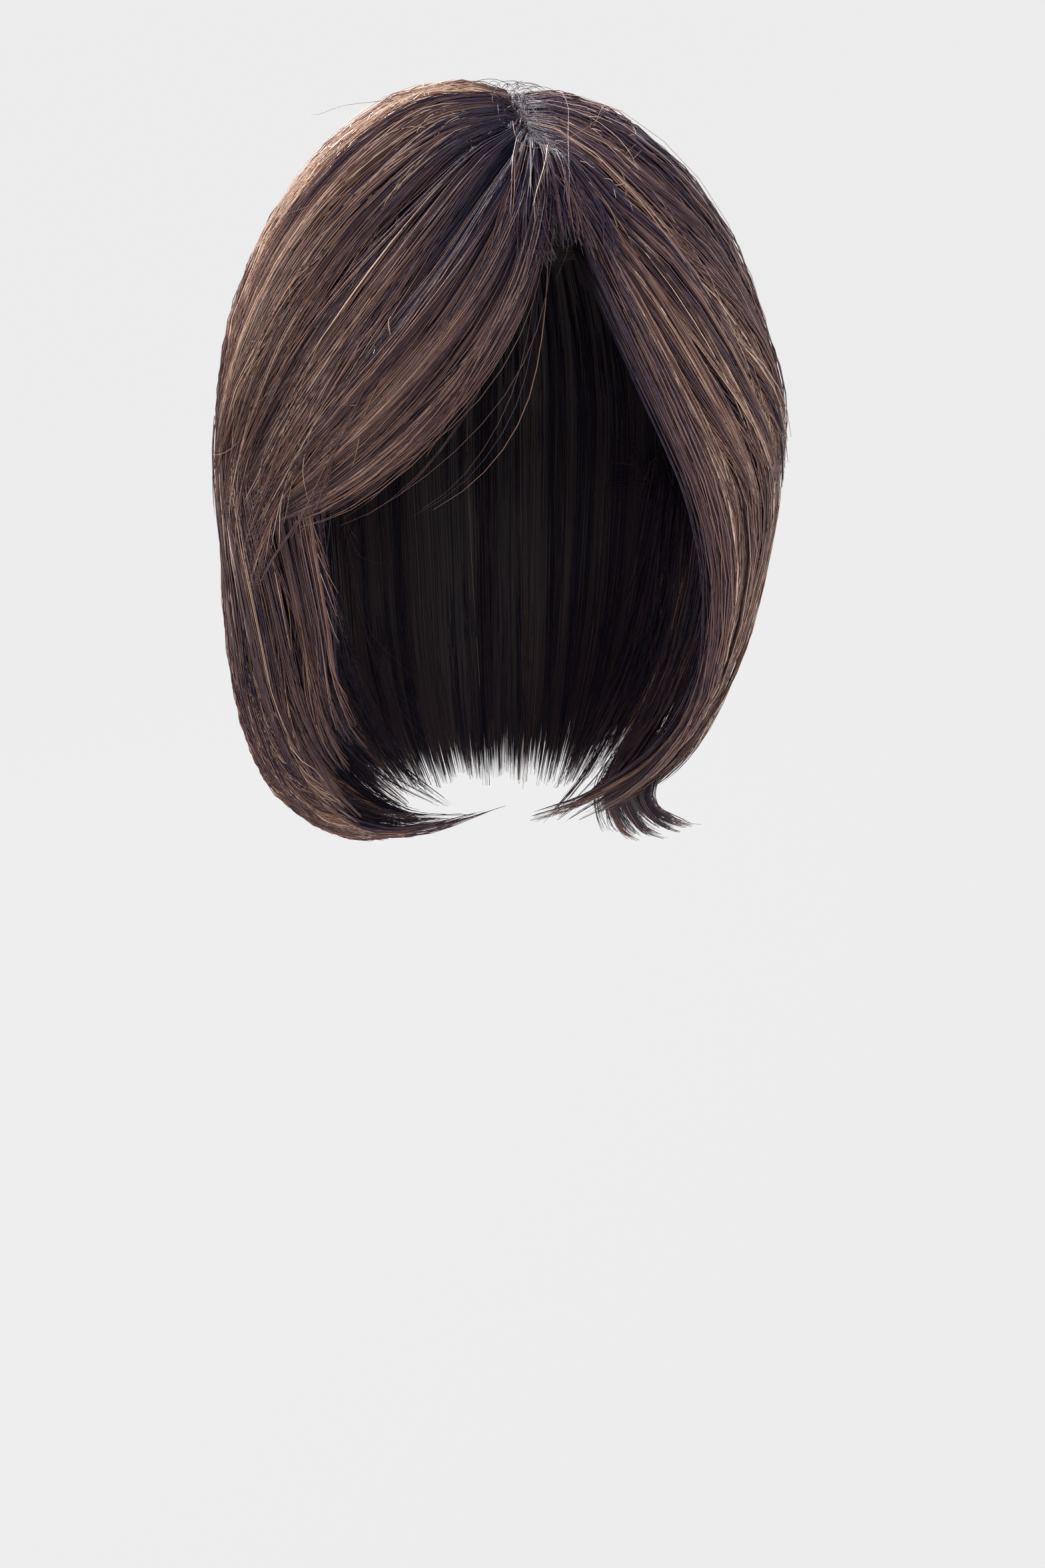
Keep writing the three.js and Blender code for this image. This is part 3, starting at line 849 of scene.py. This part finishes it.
bandHair = dict(  # hair along a hem
    topHair, perTuft=9, stops=10, depth=(0, 0.95), begin=0.5, beginSpread=0.1, ragged=0.3, uneven=0.2,
    notches=0, drift=0.012, wave=0.002, gather=0.4, lockGather=0.1,
)
flyawayHair = dict(
    topHair, perTuft=1, stops=13, across=(0.3, 1), depth=(0.94, 1.06), thick=0.00018, ragged=0.7,
    wave=0.003, drift=0.03, loose=0, lockGather=0, valley=0,
)
# Bright strands on the crown and fringe: painted highlights.
glintHair = dict(
    topHair, perTuft=3, stops=9, depth=(0.96, 1.03), tuftBreadth=0.003, thick=0.00021, begin=0.05,
    beginSpread=0.2, uneven=0.4, sunk=0.08, wave=0.0004, drift=0.006, rootShade=0.05,
)
lashHair = dict(
    topHair, perTuft=2, stops=6, depth=(0.96, 1.06), wave=0.003, drift=0.003, lockGather=0, valley=0,
)
strandPieces = {
    # The left crown is painted lighter near the roots: painted light.
    "leftTopHair": (leftFall, dict(
        topHair, seed=3, tufts=104, stops=14, across=(0.03, 0.99), crownTone=0.42, backShade=0.05,
        rootShade=0.06, lean=-0.010, valley=0.55, caramelAt=[(0.16, 0.05), (0.6, 0.06)])),
    "leftLowHair": (leftFall, dict(lowHair, seed=4)),
    "leftFrontHair": (leftFall, dict(
        lowHair, seed=19, tufts=46, perTuft=9, stops=11, across=(-0.22, 0.1), depth=(0.0, 0.9), inside=0,
        begin=0.15, tone=0.38, tuftTone=0.1, ragged=0.2, gather=0.5, wave=0.003, lean=-0.014,
        drift=0.006)),
    "leftSweepHair": (leftFall, dict(
        topHair, seed=33, tufts=64, perTuft=8, stops=12, across=(0.06, 0.6), depth=(0.9, 1.06),
        begin=0.28, beginSpread=0.12, sunk=0.2, lean=-0.040, drift=0.008, ragged=0.12, notches=0,
        lockGather=0.1, tone=0.56, tuftTone=0.12, tipTone=-0.12, caramelAt=[(0.36, 0.07)])),
    "leftHemBand": (leftHemFall, dict(
        bandHair, seed=36, tufts=70, perTuft=8, across=(0.02, 0.85), begin=0.55, ragged=0.2, uneven=0.14,
        drift=0.010, tone=0.24)),
    "leftUnderBand": (leftUnderFall, dict(
        bandHair, seed=38, tufts=40, stops=9, across=(0, 1.1), depth=(-0.6, 1), tone=0.3)),
    "cheekHair": (cheekFall, dict(
        topHair, seed=34, tufts=74, perTuft=9, stops=11, across=(0.05, 1.1), depth=(0.0, 1.08), begin=0.3,
        beginSpread=0.12, ragged=0.25, uneven=0.15, notches=0, drift=0.005, wave=0.002, gather=0.5,
        lockGather=0.2, tone=0.46, tuftTone=0.1, tipTone=-0.05)),
    "fringeTail": (tailFall, dict(
        topHair, seed=35, tufts=44, perTuft=6, stops=13, depth=(0.7, 1.1), thick=0.00028, begin=0.4,
        beginSpread=0.2, sunk=0.3, ragged=0.4, uneven=0.2, notches=0, drift=0.005, wave=0.002, gather=0.4,
        lockGather=0, valley=0, tone=0.46)),
    # The right crown is painted darker near the roots: painted shade.
    "rightTopHair": (rightFall, dict(
        topHair, seed=5, tufts=104, stops=14, crownTone=-0.2, backShade=0.06,
        caramelAt=[(0.4, 0.08), (0.72, 0.08)], tone=0.45)),
    "rightLowHair": (rightFall, dict(lowHair, seed=6)),
    "rightFrontHair": (rightFall, dict(
        lowHair, seed=10, tufts=28, perTuft=10, stops=12, across=(0.01, 0.09), depth=(0.0, 1.0), inside=0,
        begin=0.15, tone=0.4)),
    "rightHemBand": (rightHemFall, dict(
        bandHair, seed=9, tufts=110, across=(0.02, 0.74), uneven=0.12, drift=0.011, gather=0.35,
        tone=0.40)),
    "rightUnderBand": (rightUnderFall, dict(
        bandHair, seed=37, tufts=62, stops=8, across=(0, 1.1), depth=(-0.8, 1), tone=0.34)),
    "rightOuterWisps": (rightHemFall, dict(
        topHair, seed=32, tufts=60, perTuft=5, stops=10, across=(0.5, 0.85), depth=(0.4, 1.25),
        thick=0.00026, begin=0.5, beginSpread=0.1, ragged=0.16, uneven=0.06, notches=0, drift=0.007,
        wave=0.0025, gather=0.5, tone=0.5)),
    "backTopHair": (backFall, dict(
        topHair, seed=7, tufts=78, perTuft=11, stops=13, across=(-0.03, 1.03), lockGather=0.1,
        notches=0.2, gather=0.25, thick=0.00044, tone=0.41, tuftTone=0.04, caramel=0.06, glints=0.03,
        rootDip=-0.35)),
    "backLowHair": (backFall, dict(
        lowHair, seed=8, tufts=70, perTuft=11, stops=8, across=(-0.03, 1.03), inside=0.6, ragged=0.16,
        gather=0.1, lockGather=0, notches=0, thick=0.0004)),
    # The fringe is kept dark, with a long dark root: painted shade.
    "fringeTopHair": (fringeFall, dict(
        topHair, seed=11, tufts=114, stops=13, across=(-0.06, 0.98), softEdge=0.3, crowd=0.7, tone=0.12,
        tuftTone=0.05, tipTone=0.5, rootShade=0.62, caramel=0.05, valley=0.2, lockGather=0.1,
        caramelAt=[(0.1, 0.04), (0.27, 0.025)], ragged=0.22, uneven=0.26, glints=0.02)),
    "fringeLowHair": (fringeFall, dict(
        lowHair, seed=12, tufts=40, perTuft=10, across=(0, 0.92), inside=0.3, begin=0.15, ragged=0.2)),
    "fringeWisps": (fringeFall, dict(
        topHair, seed=14, tufts=60, perTuft=5, stops=14, across=(0.72, 0.95), tuftBreadth=0.005,
        thick=0.00026, depth=(0.3, 1.1), ragged=0.35, drift=0.007, wave=0.002, gather=0.1, lockGather=0,
        tone=0.4, rootShade=0.4, begin=0.1)),
    # The wedge's strands are kept dark: painted shade in the parting's wedge.
    "wedgeHair": (wedgeFall, dict(
        topHair, seed=26, tufts=60, perTuft=9, stops=9, depth=(0.4, 1.0), reach=0.9, ragged=0.3,
        uneven=0.15, wave=0.0015, lockGather=0, valley=0, gather=0.2, tone=0.24, rootShade=0.5,
        caramel=0.03)),
    "wedgeWisps": (wedgeFall, dict(
        topHair, seed=27, tufts=14, perTuft=2, stops=12, across=(0.1, 0.9), depth=(0.6, 1.1), ragged=0.3,
        uneven=0.2, wave=0.005, drift=0.006, lockGather=0, valley=0, gather=0, thick=0.00018, tone=0.3)),
    "curtainLayer": (rightFall, dict(
        topHair, seed=18, tufts=44, perTuft=10, stops=11, across=(0.03, 0.42), depth=(0.95, 1.12),
        begin=0.12, reach=0.66, ragged=0.08, notches=0, lean=0.010, drift=0.006, tipLift=0.12, gather=0.2,
        sunk=0.4)),
    "faceLockHair": (faceFall, dict(
        topHair, seed=13, tufts=36, perTuft=9, stops=11, inside=0.15, tuftBreadth=0.003,
        across=(0.1, 1.3), depth=(0.0, 1.1), ragged=0.35, drift=0.005, wave=0.003, tone=0.3,
        tuftTone=0.12, tipTone=-0.1, gather=0.6, lockGather=0)),
    "flickHair": (flickFall, dict(
        topHair, seed=17, tufts=48, perTuft=9, stops=10, inside=0.15, tuftBreadth=0.0024,
        across=(-0.02, 1.02), depth=(-0.6, 1.2), ragged=0.2, uneven=0.25, drift=0.001, gather=0.8,
        lockGather=0.95, valley=0, begin=0.2, beginSpread=0.2)),
    "leftFlyaways": (leftFall, dict(flyawayHair, seed=21, tufts=22, reach=0.9, tone=0.75)),
    "rightFlyaways": (rightFall, dict(flyawayHair, seed=22, tufts=24, reach=0.98, tone=0.7)),
    # These glint pieces are painted highlights, bright strands laid over the hair.
    "crownGlintsLeft": (leftFall, dict(
        glintHair, seed=28, tufts=150, across=(0, 0.8), reach=0.45, ragged=0.3, tone=0.95)),
    "crownGlintsRight": (rightFall, dict(
        glintHair, seed=29, tufts=18, across=(0.2, 1), begin=0.03, reach=0.4, ragged=0.25, tone=0.75)),
    "fringeGlints": (fringeFall, dict(
        glintHair, seed=30, tufts=26, stops=11, across=(0, 0.42), depth=(0.98, 1.04), reach=0.8,
        ragged=0.5, drift=0.005, tone=0.85)),
}
# The silvery lashes at the parting's front are painted highlights.
rootGlintPieces = {
    "rootLashesLeft": (fringeFall, dict(
        lashHair, seed=23, tufts=34, across=(0.4, 1.02), thick=0.00013, begin=0.02, beginSpread=0.07,
        reach=0.15, ragged=0.04, uneven=0.1)),
    "rootLashesRight": (rightFall, dict(
        lashHair, seed=24, tufts=4, across=(0, 0.07), thick=0.00012, begin=0.01, beginSpread=0.03,
        reach=0.07, ragged=0.02)),
}


# Stray hairs laid one by one: azimuth, height and lift off the outline in mm, at a few places along each.
strayHairs = {
    "acrossParting": [(2, -4, 1), (3, -10, 1.5), (8, -12, 2), (16, -10, 3), (26, -6, 4), (35, -2, 5)],
    "downParting": [(28, 7, 0.5), (22, 0, 1.5), (17, -8, 1), (14, -18, 1), (12, -28, 0.5)],
    "shortRight": [(42, 2, 1), (34, -1, 2.5), (27, -5, 1)],
    "overLeft": [(-37, -22, 1), (-43, -25, 3), (-50, -28, 4), (-58, -30, 5)],
    "leftCrown": [(-60, 4, 1), (-74, 0, 5), (-84, -4, 8), (-92, -5, 12)],
    "lowLoop": [(-49, -78, 1), (-54, -88, 3), (-58, -92, 5), (-63, -93, 6)],
}
# Short tangled hairs fill the parting.
tangle = {
    "seed": 31, "count": 90, "along": (0.05, 0.8), "aside": 0.0022, "length": (0.007, 0.018),
    "below": 0.0055, "arch": (1.2, 0.8, 0.7, 0.8, 1.1), "headings": 1.0, "bends": 0.5, "tones": (0.1, 0.6),
}
strays = {"thick": 0.00015, "stops": 12, "tone": 0.7}


def layStrays(name):
    rng = np.random.default_rng(tangle["seed"])
    stops = strays["stops"]
    steps = np.linspace(0, 1, stops)
    spans = len(tangle["arch"]) - 1
    paths, tones = [], []
    for hair in strayHairs.values():
        knots = [onShell(grown(outline, up / 1000), wayAtHeight(a, z / 1000)) for a, z, up in hair]
        paths.append(curveThrough(np.repeat(np.array(knots)[None], stops, 0), steps))
        tones.append(strays["tone"])
    for place in rng.uniform(*tangle["along"], tangle["count"]):
        start = curveThrough(partingPlan[None], np.array([place]))[0, :2]
        start = start + rng.normal(0, tangle["aside"], 2)
        heading = rng.normal(0, tangle["headings"])
        length = rng.uniform(*tangle["length"])
        bends = np.cumsum(rng.normal(0, tangle["bends"], spans))
        turns = np.stack([np.sin(heading + bends), -np.cos(heading + bends)], -1)
        plan = start + np.concatenate([np.zeros((1, 2)), np.cumsum(turns, 0)]) * length / spans
        lift = -tangle["below"] * rng.uniform(0.5, 1) * np.array(tangle["arch"])
        knots = [onShell(grown(outline, up), wayOverPlan(x, y)) for (x, y), up in zip(plan, lift)]
        paths.append(curveThrough(np.repeat(np.array(knots)[None], stops, 0), steps))
        tones.append(rng.uniform(*tangle["tones"]))
    paths = np.array(paths)
    taper = mix(1, 0.4, ease(steps, 0.6, 1))
    radius = np.repeat(strays["thick"] / 2 * taper[None], len(paths), 0)
    flow = np.zeros(paths.shape)
    flow[..., 0] = np.array(tones)[:, None]
    strands = {"paths": paths, "facing": unit(paths - (0, 0, widestZ)), "radius": radius, "flow": flow}
    return tubes(name, strands, strandHair)


# Under the strands each fall has a shaded core, which thins out towards the tips.
core = {
    "outside": 0.62, "inside": 0.12, "rootHeight": 0.75, "tipOutside": 0.5, "tipInside": 0.42,
    "ends": 0.99, "notches": 0.25, "inset": 0.01, "flickRoot": 0.02, "columns": 8, "rows": 30,
}


def coreWall(name, fall):
    columns, rows = fall["locks"] * core["columns"], core["rows"]
    first, last = fall["openEdges"]
    inset = core["inset"]
    across = np.linspace(inset if first else -inset, 1 - inset if last else 1 + inset, columns + 1)
    across, along = np.meshgrid(across, np.linspace(0, 1, rows + 1), indexing="ij")
    t = stopsAlong(fall, along) * core["ends"] * mix(1, lengthAt(fall, across), core["notches"])
    inner, outer = wallAt(fall, across, t)
    ridge = fall["ridge"] * valleyAt(fall, across) * ease(t, 0, 0.3)
    thin = ease(along, 0.75, 1)
    rise = mix(core["rootHeight"], 1, ease(t, 0, rootRise))
    high = mix(core["outside"] * (1 - ridge) * rise, core["tipOutside"], thin)
    low = mix(core["inside"], core["tipInside"], thin)
    points = np.concatenate([mix(inner, outer, share[..., None]).reshape(-1, 3) for share in (high, low)])
    size = (columns + 1) * (rows + 1)

    def at(i, j, side):
        return side * size + i * (rows + 1) + j

    i, j = (a.ravel() for a in np.meshgrid(np.arange(columns), np.arange(rows), indexing="ij"))
    c, r = np.arange(columns), np.arange(rows)
    quads = np.concatenate([
        np.stack([at(i, j, 0), at(i + 1, j, 0), at(i + 1, j + 1, 0), at(i, j + 1, 0)], -1),
        np.stack([at(i, j, 1), at(i, j + 1, 1), at(i + 1, j + 1, 1), at(i + 1, j, 1)], -1),
        np.stack([at(c, 0, 0), at(c, 0, 1), at(c + 1, 0, 1), at(c + 1, 0, 0)], -1),
        np.stack([at(c, rows, 0), at(c + 1, rows, 0), at(c + 1, rows, 1), at(c, rows, 1)], -1),
        np.stack([at(0, r, 0), at(0, r + 1, 0), at(0, r + 1, 1), at(0, r, 1)], -1),
        np.stack([at(columns, r, 0), at(columns, r, 1), at(columns, r + 1, 1), at(columns, r + 1, 0)], -1),
    ])
    a, b, d = (points[quads[:, k]] for k in (0, 1, 2))
    if np.einsum("ij,ij->i", a, np.cross(b, d)).sum() < 0:
        quads = quads[:, ::-1]
    place = np.stack([across, along], -1).reshape(-1, 2)
    place = place * (0.46, 0.96) + 0.02  # the outside takes one half of the map, the inside the other
    corners = np.concatenate([place, place + (0.5, 0)])[quads.ravel()]
    width = breadthOf(fall)
    fromFirst = across / first if first else 1 + 0 * across
    fromLast = (1 - across) / last if last else 1 + 0 * across
    fromEdge = np.minimum(fromFirst, fromLast) * width
    if fall["guide"] is flickGuide:
        fromEdge = np.minimum(fromEdge, core["flickRoot"] * along)
    lie = np.stack([across * width, along * (1 - fall["closedTip"]), fromEdge], -1).reshape(-1, 3)
    return meshFromArrays(
        name, points, quads, np.zeros((0, 3), int), corners,
        {"combing": np.concatenate([lie, lie + (0.5, 0, 0)])}, underHair,
    )


cores = {
    "leftCore": leftFall, "rightCore": rightFall, "backCore": backFall, "fringeCore": fringeFall,
    "faceLockCore": faceFall, "flickCore": flickFall,
}
for pieceName, fall in cores.items():
    piece = coreWall(pieceName, fall)
    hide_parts(fall["node"])
for pieceName, (fall, hair) in (strandPieces | rootGlintPieces).items():
    finish = rootGlintHair if pieceName in rootGlintPieces else strandHair
    piece = tubes(pieceName, combStrands(fall, hair), finish)
    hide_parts(fall["node"])
    print(pieceName, hair["tufts"] * hair["perTuft"], "strands")
piece = layStrays("strayHair")
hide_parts("fringe")


# The base is a thin net dome with a bound rim, cut back at the front hairline.
base = {
    "rimFront": 38, "rimSide": 47, "rimBack": 53,  # degrees from the crown
    "rings": 24, "sides": 96, "binding": 0.004, "roll": 0.0007, "weaveWidth": 0.7, "mapWidth": 4.6,
}
netting = {
    "cell": 0.0016, "thread": (0.045, 0.030, 0.026, 1), "gap": (0.010, 0.008, 0.008, 1),
    "gapShare": 3.2, "ribs": 1.6, "ribHeight": 0.5, "bump": (0.7, 0.0003),
    "roughness": 0.75, "threadShine": 0.15,
}


def netFinish():
    material, wire = startFinish("darkNet")
    about, down, bound = wire.attribute("weave")
    turn = math.pi / netting["cell"]
    one = ((about + down) * turn).sine() ** 2
    two = ((about - down) * turn).sine() ** 2
    mesh = wire.sum("MINIMUM", one, two)
    thread = wire.sum("MAXIMUM", (1 - mesh * netting["gapShare"]).held(), bound)
    colour = thread.blend(netting["gap"], netting["thread"])
    rib = (down * (turn * netting["ribs"])).sine() * bound
    height = (thread + rib * netting["ribHeight"]).bump(*netting["bump"])
    roughness = netting["roughness"] - thread * netting["threadShine"]
    closeFinish(wire, {"Base Color": colour, "Roughness": roughness, "Normal": height})
    return material


def netBase():
    rings, sides = base["rings"], base["sides"]
    ring, side = np.meshgrid(np.arange(1, rings + 1), np.arange(sides), indexing="ij")
    forward = np.cos(2 * math.pi * side / sides)
    rim = mix(base["rimSide"], np.where(forward > 0, base["rimFront"], base["rimBack"]), forward**2)
    way = wayAt(360 * side / sides, rim * ring / rings)
    outside = onShell(grown(head, baseWall), way)
    fromRim = np.radians(rim) * (1 - ring / rings) * head["rise"]
    bound = 1 - ease(fromRim, base["binding"] * 0.8, base["binding"])
    under = onShell(head, way) * (1 - bound * base["roll"] / head["rise"])[..., None]
    top = np.array([[0, 0, widestZ + head["rise"] + baseWall], [0, 0, widestZ + head["rise"]]])
    points = np.concatenate([top, outside.reshape(-1, 3), under.reshape(-1, 3)])

    def at(shell, j, k):
        return 2 + shell * rings * sides + j * sides + k % sides

    j, k = (a.ravel() for a in np.meshgrid(np.arange(rings - 1), np.arange(sides), indexing="ij"))
    n = np.arange(sides)
    low = rings - 1
    quads = np.concatenate([
        np.stack([at(0, j, k), at(0, j + 1, k), at(0, j + 1, k + 1), at(0, j, k + 1)], -1),
        np.stack([at(1, j, k), at(1, j, k + 1), at(1, j + 1, k + 1), at(1, j + 1, k)], -1),
        np.stack([at(0, low, n), at(1, low, n), at(1, low, n + 1), at(0, low, n + 1)], -1),
    ])
    caps = np.concatenate([
        np.stack([0 * n, at(0, 0, n), at(0, 0, n + 1)], -1),
        np.stack([0 * n + 1, at(1, 0, n + 1), at(1, 0, n)], -1),
    ])
    plan = points[:, :2] / (base["mapWidth"] * head["back"]) + (0.25, 0.25)
    plan[2 + rings * sides:, 0] += 0.5
    plan[1, 0] += 0.5
    corners = plan[np.concatenate([quads.ravel(), caps.ravel()])]
    down = np.radians(rim * ring / rings) * head["rise"]
    about = 2 * math.pi * side / sides * head["halfWidth"] * base["weaveWidth"]
    lie = np.stack([about, down, bound], -1).reshape(-1, 3)
    lie = np.concatenate([np.zeros((2, 3)), lie, lie])
    return meshFromArrays("netBase", points, quads, caps, corners, {"weave": lie}, netFinish())


clipSurface = {
    "dark": (0.018, 0.015, 0.014, 1), "worn": (0.040, 0.034, 0.031, 1), "wear": 260.0, "metallic": 0.6,
    "roughness": 0.28, "wornRoughness": 0.2, "bump": (0.25, 0.0002),
}


def clipFinish():
    material, wire = startFinish("darkClipMetal")
    wear = wire.place().noise(clipSurface["wear"], 3.0)
    closeFinish(wire, {
        "Base Color": wear.blend(clipSurface["dark"], clipSurface["worn"]),
        "Metallic": clipSurface["metallic"],
        "Roughness": clipSurface["roughness"] + wear * clipSurface["wornRoughness"],
        "Normal": wear.bump(*clipSurface["bump"]),
    })
    return material


piece = netBase()
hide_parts("scalp_base")
clipMetal = clipFinish()
for side in ("front", "back", "left", "right"):
    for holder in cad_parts["clip_" + side].material_slots:
        holder.material = clipMetal
print("base and clips finished")

apart = [*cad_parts, "sweep"]
added = [o for o in scene.objects if o.type == "MESH" and o.name not in apart]
print("triangles added:", sum(len(o.data.loops) - 2 * len(o.data.polygons) for o in added))
